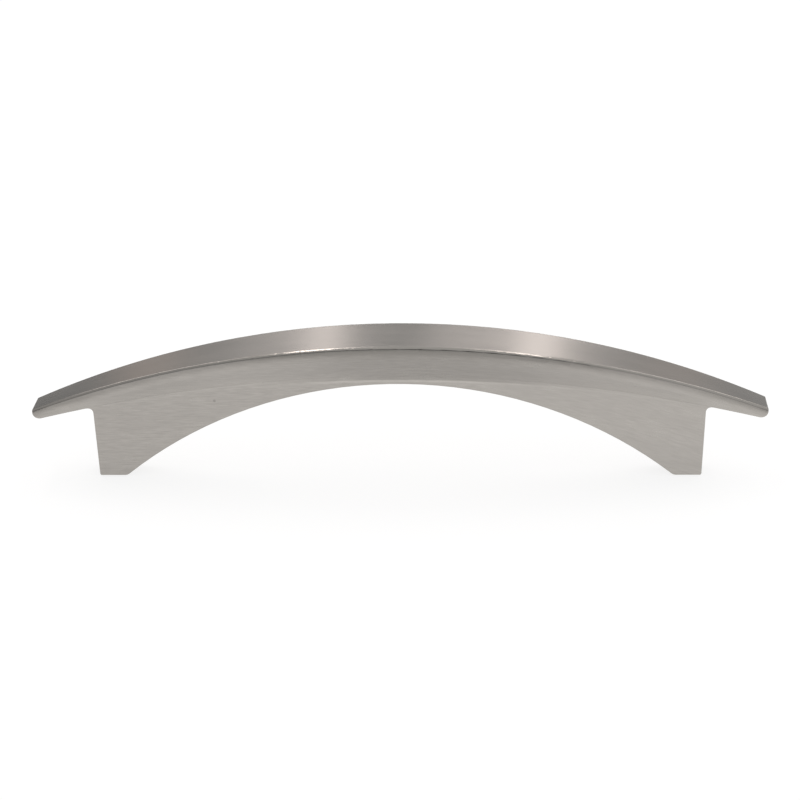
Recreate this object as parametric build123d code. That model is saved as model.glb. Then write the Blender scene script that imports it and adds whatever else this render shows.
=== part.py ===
from build123d import *
import math
import os

# Arched cabinet pull, die-cast in one piece. A bowed band, boat-shaped from above, flares out of a
# straight-sided web. The web runs down into two feet, and the band's tails overhang them.
# Millimetres. X runs along the pull, Y across it and Z away from the face it is screwed to.
# The origin lies on that face, midway between the two screw holes.

# Sizes along the pull
hole_spacing = 128.0  # between the axes of the two screw holes
tip_overhang = 17.3  # from a screw hole's axis to the nearer tip
foot_wall = 1.45  # between the tapped bore and the inner and outer sides of a foot, at the seat

# Sizes away from the mounting face
finger_clearance = 21.8  # under the middle of the grip
web_depth = 1.5  # of the straight-sided web at the middle, from the grip to the crease
band_depth = 8.8  # of the flared band at the middle, from the crease to the crown
crown_rise = 16.15  # of the crown from its tips to its middle
tip_depth = 2.55  # of the band at its tips
crease_drop = 0.3  # of the crease below the underside of the tails

# Sizes across the pull
web_width = 7.2  # of the web and the feet
flare_middle = 5.91  # by which each side of the band overhangs the web at the middle, but for its rounded rim
flare_tip = 0.89  # and at the tips
fullness = 2.5  # of the band seen from above: 2 gives its sides a parabola, and more keeps it wide for longer

# Draft, blends and rounded edges
foot_draft = 2.2  # degrees by which the outer side of a foot leans outwards
tail_fillet = 1.3  # between the outer side of a foot and the tail above it
tip_nose = 1.6  # of the lower corner of a tip, seen from the side
seat_inner_corner = 1.8  # of a seat, seen from the side, where the grip springs from it
seat_outer_corner = 0.4  # of a seat, seen from the side, at the foot's outer side
crease_blend = 1.6  # between the web and the flared sides of the band
rim_upper = 0.7  # of the two rims of the band, next to the crown
rim_lower = 3.0  # of the rims lower down, next to the flared sides
rim_turn = 15.0  # degrees above level to which a rim faces where its two radii meet
web_edge = 0.3  # along the rest of the outline and round the tips

# Tapped blind holes for M4 screws
thread_bore = 3.3  # tapping diameter
thread_length = 9.0  # of the tapped wall
thread_lead_in = 0.4  # depth and width of the 45 degree lead-in at the mouth
drill_point = 118.0  # degrees across the cone at the bottom

# How the band is lofted
stations = 5  # cross-sections along the pull
overrun = 1.0  # of a shape past the one that trims it

# Worked out from the sizes above
half_length = hole_spacing / 2 + tip_overhang
foot_length = thread_bore + 2 * foot_wall
seat_inner = (hole_spacing - foot_length) / 2
seat_outer = (hole_spacing + foot_length) / 2
crease_height = finger_clearance + web_depth
crown_height = crease_height + band_depth
tip_height = crown_height - crown_rise
tip_underside = tip_height - tip_depth


def bow(x, middle, tip):
    """Height at x of the circular arc that stands at middle in the centre and at tip at both tips."""
    rise = middle - tip
    radius = (half_length**2 + rise**2) / (2 * rise)
    return middle - radius + math.sqrt(radius**2 - x**2)


def crown(x):
    return bow(x, crown_height, tip_height)


def crease(x):
    return bow(x, crease_height, tip_underside - crease_drop)


def flare(x):
    """Overhang at x of each side of the band over the web."""
    return flare_middle - (flare_middle - flare_tip) * abs(x / half_length) ** fullness


def core(x):
    """Height at x of a line that stays inside the band from tip to tip."""
    return (crown(x) + crease(x) + crease_drop) / 2


def arch(half_span, springing, middle):
    """Arc in the side view from one springing point over the middle to the other."""
    return ThreePointArc((-half_span, springing), (0, middle), (half_span, springing))


def round_pair(outline, x, height, radius):
    """The side view with the corners nearest to this height at x and at -x rounded."""
    corners = [outline.vertices().sort_by_distance((end, height, 0))[0] for end in (-x, x)]
    return fillet(corners, radius)


def side_view():
    """Side view of the whole pull, with x along it and y for the height."""
    band = make_face(
        [
            arch(half_length, tip_height + overrun, crown_height + overrun),
            Line((half_length, tip_height + overrun), (half_length, tip_underside)),
            arch(half_length, tip_underside, crease_height + crease_drop),
            Line((-half_length, tip_underside), (-half_length, tip_height + overrun)),
        ]
    )
    foot_top = core(seat_outer)
    foot_top_outer = seat_outer + foot_top * math.tan(math.radians(foot_draft))
    web = make_face(
        [
            arch(foot_top_outer, foot_top, core(0)),
            Line((foot_top_outer, foot_top), (seat_outer, 0)),
            Line((seat_outer, 0), (seat_inner, 0)),
            arch(seat_inner, 0, finger_clearance),
            Line((-seat_inner, 0), (-seat_outer, 0)),
            Line((-seat_outer, 0), (-foot_top_outer, foot_top)),
        ]
    )
    outline = round_pair(band + web, foot_top_outer, foot_top, tail_fillet)
    outline = round_pair(outline, half_length, tip_underside, tip_nose)
    outline = round_pair(outline, seat_inner, 0, seat_inner_corner)
    return round_pair(outline, seat_outer, 0, seat_outer_corner)


def band_section(x):
    """Cross-section of the band at x, with its rims rounded, drawn out to below the crease."""
    slope = flare(x) / (crown(x) - crease(x))
    lean = math.atan(slope)
    turn = math.radians(rim_turn)
    swell = rim_lower - rim_upper
    # A rim's upper arc starts level with the crown, and its lower arc runs into the flared side.
    rim_drop = rim_upper + swell * math.sin(turn)
    rim_inset = (rim_lower + rim_drop * math.sin(lean)) / math.cos(lean) - swell * math.cos(turn)
    rim_y = web_width / 2 + flare(x) - rim_inset
    upper_centre = (rim_y, crown(x) - rim_upper)
    lower_centre = (rim_y - swell * math.cos(turn), crown(x) - rim_drop)
    upper_arc = CenterArc(upper_centre, rim_upper, rim_turn, 90 - rim_turn)
    lower_arc = CenterArc(lower_centre, rim_lower, -math.degrees(lean), rim_turn + math.degrees(lean))
    bottom_y = web_width / 2 - slope * overrun
    bottom = crease(x) - overrun
    side = [Line((bottom_y, bottom), lower_arc @ 0), lower_arc, upper_arc]
    other_side = [mirror(line, Plane.YZ) for line in side]
    across = [Line((-y, z), (y, z)) for y, z in ((bottom_y, bottom), (rim_y, crown(x)))]
    plane = Plane(origin=(x, 0, 0), x_dir=(0, 1, 0), z_dir=(1, 0, 0))
    return plane * make_face(side + other_side + across)


def blended_sides():
    """Everything between the two sides of the pull: a straight slab, and the flare that grows out of it."""
    reach = half_length + overrun
    flared = loft([band_section(reach * (2 * i / (stations - 1) - 1)) for i in range(stations)])
    slab_side = make_face(
        [
            arch(reach, core(half_length), core(0)),
            Line((reach, core(half_length)), (reach, -overrun)),
            Line((reach, -overrun), (-reach, -overrun)),
            Line((-reach, -overrun), (-reach, core(half_length))),
        ]
    )
    sides = flared + extrude(Plane.XZ * slab_side, web_width / 2, both=True)
    # Of the edges along the pull, which come in pairs, the creases are the second pair from the bottom.
    long_edges = sides.edges().filter_by(lambda e: e.length > half_length)
    creases = long_edges.sort_by(lambda e: (e @ 0.5).Z)[2:4]
    return fillet(creases, crease_blend)


def rounded(body):
    """The pull with the edges of its side view rounded, right round the feet, the tails and the tips."""
    grip = body.faces().sort_by_distance((0, 0, finger_clearance))[0]
    return body.fillet(web_edge, grip.edges().filter_by(Axis.Y, reverse=True))


def tapped_hole():
    """Blind hole on the Z axis, from the seat upwards, with a lead-in and a drilled point."""
    bore = thread_bore / 2
    wall_top = thread_lead_in + thread_length
    point = wall_top + bore / math.tan(math.radians(drill_point / 2))
    half_section = Polyline(
        (0, 0),
        (bore + thread_lead_in, 0),
        (bore, thread_lead_in),
        (bore, wall_top),
        (0, point),
        close=True,
    )
    return revolve(Plane.XZ * make_face(half_section), Axis.Z)


def pull():
    half_width = web_width / 2 + flare_middle + overrun
    blank = extrude(Plane.XZ * side_view(), half_width, both=True)
    body = rounded((blank & blended_sides()).solid())
    for x in (-hole_spacing / 2, hole_spacing / 2):
        body -= Pos(X=x) * tapped_hole()
    return body


os.makedirs("parts", exist_ok=True)
export_step(pull(), "parts/pull.step")
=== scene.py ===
import math

import bmesh
import bpy
from mathutils import Matrix, Vector


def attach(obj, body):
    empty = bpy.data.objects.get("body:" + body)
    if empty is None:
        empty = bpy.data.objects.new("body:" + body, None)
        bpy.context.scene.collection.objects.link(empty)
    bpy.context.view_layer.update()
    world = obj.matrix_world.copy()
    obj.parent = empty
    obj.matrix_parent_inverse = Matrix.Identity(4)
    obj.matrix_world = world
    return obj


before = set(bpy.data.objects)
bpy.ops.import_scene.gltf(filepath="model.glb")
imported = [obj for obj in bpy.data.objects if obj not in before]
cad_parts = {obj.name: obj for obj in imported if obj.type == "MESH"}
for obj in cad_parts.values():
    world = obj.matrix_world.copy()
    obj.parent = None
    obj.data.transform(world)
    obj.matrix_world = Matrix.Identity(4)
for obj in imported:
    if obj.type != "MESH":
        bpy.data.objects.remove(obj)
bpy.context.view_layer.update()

# The view. The pull stands on a table with its feet down, and a camera with a long lens looks across it,
# from a little above and almost square on. All sizes are in metres, in the frame of the CAD model.
camera_distance = 0.52007
camera_height = math.radians(22.0)
camera_swing = math.radians(2.861)
camera_tilt = math.radians(-1.179)
camera_aim = Vector((0.00037, 0.00022, 0.01657))
lens_mm, sensor_mm = 105.5, 36.0
nearest_seen = 0.01

camera_turn = Matrix.Rotation(camera_swing, 3, "Z") @ Matrix.Rotation(math.pi / 2 - camera_height, 3, "X")
camera = bpy.data.objects.new("camera", bpy.data.cameras.new("camera"))
camera.data.lens = lens_mm
camera.data.sensor_width = sensor_mm
camera.data.clip_start = nearest_seen
camera.location = camera_aim + camera_turn @ Vector((0, 0, camera_distance))
camera.rotation_euler = (camera_turn @ Matrix.Rotation(camera_tilt, 3, "Z")).to_euler()
bpy.context.scene.collection.objects.link(camera)
bpy.context.scene.camera = camera
bpy.context.scene.view_settings.view_transform = "Standard"


# The pull. One casting of zinc alloy, brushed along its length by hand and plated in satin nickel. The
# brushing shows as fine streaks, level on the left of each side and following the arch on the right. Its
# colour also holds painted light: the sides painted lighter towards the right, painted shade under the
# middle of the band and under the tails, a painted dark reflection under each smooth rim, painted light
# just above the crease, and a painted highlight along it.
class Shade:
    """A socket in a tree of nodes. Sums and products of it add Math nodes."""

    def __init__(self, socket):
        self.socket = socket

    def node(self, kind, settings, inputs, output=0):
        """The output of a new node, with its settings made first and its sockets set or linked."""
        tree = self.socket.id_data
        made = tree.nodes.new(kind)
        for name, setting in settings.items():
            setattr(made, name, setting)
        for name, value in inputs.items():
            if isinstance(value, Shade):
                tree.links.new(value.socket, made.inputs[name])
            else:
                made.inputs[name].default_value = value
        return Shade(made.outputs[output])

    def feed(self, socket):
        self.socket.id_data.links.new(self.socket, socket)

    def math(self, operation, *values):
        return self.node("ShaderNodeMath", {"operation": operation}, dict(enumerate(values)))

    def ramp(self, low, high, at_low, at_high):
        """Goes smoothly from at_low to at_high as this value goes from low to high."""
        limits = {"Value": self, "From Min": low, "From Max": high, "To Min": at_low, "To Max": at_high}
        return self.node("ShaderNodeMapRange", {"interpolation_type": "SMOOTHSTEP"}, limits)

    def mix(self, at_zero, at_one):
        """A colour that goes from one to another as this value goes from 0 to 1."""
        colours = {"Factor": self, 6: at_zero, 7: at_one}
        return self.node("ShaderNodeMix", {"data_type": "RGBA"}, colours, 2)

    def axis(self, letter):
        return self.node("ShaderNodeSeparateXYZ", {}, {"Vector": self}, letter)

    def __abs__(self):
        return self.math("ABSOLUTE", self)

    def __add__(self, other):
        return self.math("ADD", self, other)

    def __radd__(self, other):
        return self.math("ADD", other, self)

    def __sub__(self, other):
        return self.math("SUBTRACT", self, other)

    def __rsub__(self, other):
        return self.math("SUBTRACT", other, self)

    def __mul__(self, other):
        return self.math("MULTIPLY", self, other)

    def __rmul__(self, other):
        return self.math("MULTIPLY", other, self)


def new_finish(name):
    """A material with its Principled shader, and a Shade to start its nodes from."""
    material = bpy.data.materials.new(name)
    material.use_nodes = True
    shader = material.node_tree.nodes["Principled BSDF"]
    return material, shader, Shade(shader.outputs[0])


dark_nickel = (0.26, 0.246, 0.228, 1)
light_nickel = (0.54, 0.512, 0.478, 1)
hair_line_size = (0.0025, 0.0002)  # length and width of the finest streaks
stroke_size = (0.0045, 0.0005)  # of the strokes of the brush
patch_size = (0.016, 0.004)  # and of the patches that they make up
arch_radius = 0.20  # of the strokes on the right
crease_height = 0.02272  # of the crease at the middle of the pull
crease_radius = 0.38  # of the crease, seen from the side
# Where the painted shade under the band is centred, and how far it reaches, along the pull.
band_shade_centre, band_shade_reach = 0.008, 0.05  # along the pull
tail_start, tail_end = 0.062, 0.074  # from the middle of the pull
mark_place = (-0.0405, -0.0036, 0.0180)  # of a small mark from the casting
mark_radius = 0.0004
# Tones go from dark nickel at 0 to light nickel at 1.
plain_tone = 0.5
# Painted light: the sides lighter than the level faces, and lighter towards the right.
painted_side_light, painted_side_light_per_metre = 0.07, 0.8
# Painted light just above the crease towards the ends, and a painted highlight along the crease.
painted_crease_light_tone, painted_crease_highlight_tone = 0.16, 0.22
# Painted shade under the middle of the band and under the tails, and the tone of a small mark from the
# casting.
painted_band_shade_tone, tail_shade_tone, mark_tone = -0.36, -0.13, -0.36
plain_roughness, stroke_roughness, patch_roughness, rim_roughness = 0.2, 0.06, 0.05, -0.08
relief_depth, relief_strength = 0.00001, 0.25

nickel, nickel_shader, nickel_start = new_finish("satin_nickel")
place = nickel_start.node("ShaderNodeTexCoord", {}, {}, "Object")
along, across, height = place.axis("X"), place.axis("Y"), place.axis("Z")
normal = nickel_start.node("ShaderNodeNewGeometry", {}, {}, "Normal")
crosswise, facing = normal.axis("Y"), normal.axis("Z")

# The parts of the surface: level faces, sides, the band, its underside, rims and middle, and the
# undersides of the tails, which get painted shade.
level = abs(facing).ramp(0.6, 0.9, 0, 1)
side = facing.ramp(0.05, 0.2, 1, 0)
above_crease = height - crease_height + along * along * (0.5 / crease_radius)
on_band = above_crease.ramp(0, 0.0004, 0, 1)
underside = on_band * facing.ramp(0, 0.3, 1, 0)
rim = abs(crosswise).ramp(0.05, 0.25, 0, 1) * facing.ramp(0.3, 0.5, 0, 1)
middle = abs(along - band_shade_centre).ramp(0, band_shade_reach, 1, 0)
# The undersides of the tails, painted darker as shade.
tail_underside_shade = underside * abs(along).ramp(tail_start, tail_end, 0, 1)

# The brushing, deepest on the sides and fainter towards the right.
right = along.math("MAXIMUM", along, 0)
arched_height = height + right * right * (0.5 / arch_radius)
stroke = arched_height * (1 - level) + across * level


def streaks(length, width):
    """Streaks of about this length along the pull and this width across it, from 0 to 1."""
    spot = stroke.node("ShaderNodeCombineXYZ", {}, {"X": along * (1 / length), "Y": stroke * (1 / width)})
    grain = {"Vector": spot, "Scale": 1, "Detail": 2}
    return spot.node("ShaderNodeTexNoise", {"noise_dimensions": "2D"}, grain)


hair_lines = streaks(*hair_line_size)
strokes = streaks(*stroke_size)
patches = streaks(*patch_size)
depth = (0.21 * side - 0.06 * underside) * (0.5 + patches) * along.ramp(0, 0.04, 1.25, 0.8) + 0.03
brushing = (hair_lines + strokes - 1) * depth + (patches - 0.5) * 0.2

# The painted highlight along the crease, the painted shade and the painted light above it, and the painted
# dark reflection under a rim.
# Painted highlight along the crease.
painted_crease_highlight = above_crease.ramp(-0.0005, -0.0002, 0, 1) * above_crease.ramp(0, 0.0002, 1, 0)
painted_crease_highlight = painted_crease_highlight * abs(along).ramp(0.012, 0.024, 1, 0.35)
# Painted shade under the middle of the band.
painted_band_shade = underside * middle * above_crease.ramp(0.0002, 0.0014, 0.65, 1)
# Painted light just above the crease, away from the middle.
painted_crease_light = underside * above_crease.ramp(0.0008, 0.003, 1, 0) * (1 - middle)
# Painted dark reflection along the lower side of each rim, deeper at the middle.
painted_rim_reflection_depth = facing.ramp(-0.4, 0.15, 0, 0.3) + facing.ramp(-0.1, 0.2, 0, 0.6) * middle
painted_rim_reflection = on_band * painted_rim_reflection_depth * facing.ramp(0.35, 0.55, 1, 0)
mark_ends = {0: place, 1: mark_place}
mark_gap = place.node("ShaderNodeVectorMath", {"operation": "DISTANCE"}, mark_ends, "Value")
mark = mark_gap.ramp(mark_radius * 0.5, mark_radius, 1, 0)

# The tone: brushing, with painted light on the sides and near and along the crease, and painted shade
# under the band, the tails and each rim.
tone = plain_tone + (painted_side_light + along * painted_side_light_per_metre) * side + brushing
tone = tone + painted_crease_light * painted_crease_light_tone + painted_crease_highlight * painted_crease_highlight_tone
tone = tone + painted_band_shade * painted_band_shade_tone + tail_underside_shade * tail_shade_tone - painted_rim_reflection + mark * mark_tone
tone.mix(dark_nickel, light_nickel).feed(nickel_shader.inputs["Base Color"])
roughness = strokes * side * stroke_roughness + patches * patch_roughness
roughness = roughness + plain_roughness + rim * rim_roughness
roughness.feed(nickel_shader.inputs["Roughness"])
relief = (hair_lines * 0.6 + strokes * 0.4) * side
grooves = {"Strength": relief_strength, "Distance": relief_depth, "Height": relief}
relief.node("ShaderNodeBump", {}, grooves).feed(nickel_shader.inputs["Normal"])
nickel_shader.inputs["Metallic"].default_value = 1.0

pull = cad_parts["pull"]
pull.data.materials.clear()
pull.data.materials.append(nickel)

# The threads. Each foot is tapped for an M4 screw, and the cut thread winds up its bore from the seat.
# Its ridge stands on the wall of the bore, with a narrow crest, and runs out at both ends.
hole_spacing = 0.128
bore_radius = 0.00165
thread_start = 0.0006
thread_end = 0.0088
thread_pitch = 0.0007
ridge_height = 0.00014
ridge_root = 0.00001  # of the ridge that lies inside the wall
half_root, half_crest = 0.42, 0.06  # of the ridge's width, in pitches
steps_per_turn = 48
run_out = 12  # steps

ridge = [
    (ridge_root, -half_root),
    (-ridge_height, -half_crest),
    (-ridge_height, half_crest),
    (ridge_root, half_root),
]
steps = round((thread_end - thread_start) / thread_pitch * steps_per_turn)
for end, name in ((-1, "left_thread"), (1, "right_thread")):
    mesh = bmesh.new()
    rings = []
    for i in range(steps + 1):
        turn = 2 * math.pi * i / steps_per_turn
        rise = thread_start + thread_pitch * i / steps_per_turn
        fade = min(1, i / run_out, (steps - i) / run_out)
        ring = []
        for out, lift in ridge:
            radius = bore_radius + (out if out > 0 else out * fade)
            x = end * hole_spacing / 2 + radius * math.cos(turn)
            ring.append(mesh.verts.new((x, radius * math.sin(turn), rise + lift * thread_pitch)))
        rings.append(ring)
    for low, high in zip(rings, rings[1:]):
        for j in range(len(ridge) - 1):
            mesh.faces.new((low[j], low[j + 1], high[j + 1], high[j]))
    bmesh.ops.recalc_face_normals(mesh, faces=mesh.faces)
    thread_mesh = bpy.data.meshes.new(name)
    mesh.to_mesh(thread_mesh)
    mesh.free()
    thread = bpy.data.objects.new(name, thread_mesh)
    bpy.context.scene.collection.objects.link(thread)
    thread.data.materials.append(nickel)
    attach(thread, "root")

# The table. A sheet of matt white card, wide enough to fill the view. The pull stands on it, and the card
# keeps its soft shadow.
floor_width = 6.0
floor_gap = 0.0002  # under the seats
card_grey = 0.3
card_glow = 0.8

floor_mesh = bpy.data.meshes.new("floor")
half = floor_width / 2
floor_corners = [(-half, -half, 0), (half, -half, 0), (half, half, 0), (-half, half, 0)]
floor_mesh.from_pydata(floor_corners, [], [(0, 1, 2, 3)])
floor = bpy.data.objects.new("floor", floor_mesh)
floor.location.z = -floor_gap
bpy.context.scene.collection.objects.link(floor)

card, card_shader, card_start = new_finish("white_card")
card_shader.inputs["Base Color"].default_value = (card_grey, card_grey, card_grey, 1)
card_shader.inputs["Roughness"].default_value = 0.9
card_shader.inputs["Specular IOR Level"].default_value = 0.0
seen = card_start.node("ShaderNodeLightPath", {}, {}, "Is Camera Ray")
seen = seen + card_start.node("ShaderNodeLightPath", {}, {}, "Is Glossy Ray")
seen = seen + card_start.node("ShaderNodeLightPath", {}, {}, "Is Transmission Ray")
seen.mix((0, 0, 0, 1), (card_glow, card_glow, card_glow, 1)).feed(card_shader.inputs["Emission Color"])
card_shader.inputs["Emission Strength"].default_value = 1.0
floor.data.materials.append(card)

# The light. A pale grey studio, dimmer behind the pull and at the left, and dark behind the camera. Tall
# strips behind the pull, with fainter boxes beside them, draw the bright bands on its crown. Boxes
# overhead, two of them long and tilted, light its rims.
studio_level = 0.55
dark_place = 0.5
ceiling_lift = 0.14
wall_drop, left_drop = 0.13, 0.2
box_distance = 2.0
strip_elevation, strip_height = 28, 1.4
warm = (1.0, 0.92, 0.89)
amber = (1.0, 0.72, 0.58)

world = bpy.data.worlds.new("studio")
bpy.context.scene.world = world
world.use_nodes = True
studio = world.node_tree.nodes["Background"]
studio.inputs["Color"].default_value = (1, 1, 1, 1)
direction = Shade(studio.outputs[0]).node("ShaderNodeTexCoord", {}, {}, "Generated")
sideways, away, upwards = direction.axis("X"), direction.axis("Y"), direction.axis("Z")
behind_camera = away.ramp(-0.96, -0.7, 1, 0) * sideways.ramp(-0.5, -0.08, 0, 1)
behind_camera = behind_camera * sideways.ramp(0.08, 0.55, 1, 0) * upwards.ramp(0.2, 0.5, 0.5, 1)
gloom = studio_level - behind_camera * dark_place
ceiling = upwards.ramp(0.3, 0.65, 0, ceiling_lift) * away.ramp(-0.9, -0.5, 0, 1)
wall = away.ramp(0.5, 0.95, 0, -wall_drop)
left_wall = sideways.ramp(-0.5, -0.2, -left_drop, 0)
(gloom + ceiling + wall + left_wall).feed(studio.inputs["Strength"])


def soft_box(name, azimuth, elevation, width, height, radiance, colour, roll=0):
    """A soft box that faces the pull, placed in degrees from straight behind it and above the table."""
    bearing, rise = math.radians(azimuth), math.radians(elevation)
    reach = math.cos(rise)
    towards = Vector((math.sin(bearing) * reach, math.cos(bearing) * reach, math.sin(rise)))
    lamp = bpy.data.lights.new(name, "AREA")
    lamp.shape = "RECTANGLE"
    lamp.size = width
    lamp.size_y = height
    lamp.energy = 4 * radiance * width * height  # a lamp's face shines at a quarter of its energy per area
    lamp.color = colour
    box = bpy.data.objects.new(name, lamp)
    box.location = towards * box_distance
    upright = towards.to_track_quat("Z", "Y").to_matrix()
    box.rotation_euler = (upright @ Matrix.Rotation(math.radians(roll), 3, "Z")).to_euler()
    box.visible_camera = False
    bpy.context.scene.collection.objects.link(box)


for name, azimuth, width, radiance, colour in (
    ("left_strip", -8.3, 0.08, 1.16, warm),
    ("left_wing", -12.2, 0.17, 0.18, warm),
    ("left_glow", -20.4, 0.12, 0.2, amber),
    ("right_strip", 7.9, 0.1, 1.37, warm),
    ("right_wing", 2.6, 0.2, 0.28, warm),
    ("right_fringe", 12.2, 0.1, 0.15, warm),
    ("right_glow", 17.5, 0.12, 0.13, amber),
):
    soft_box(name, azimuth, strip_elevation, width, strip_height, radiance, colour)
soft_box("left_top", -32, 65.5, 0.13, 1.84, 4.3, warm, -35)
soft_box("right_top", 31.2, 66.1, 0.1, 1.84, 2.8, warm, 36.5)
soft_box("left_far_top", -43, 48, 0.32, 0.9, 0.9, warm)
soft_box("right_far_top", 41, 48, 0.22, 0.9, 1.1, warm)
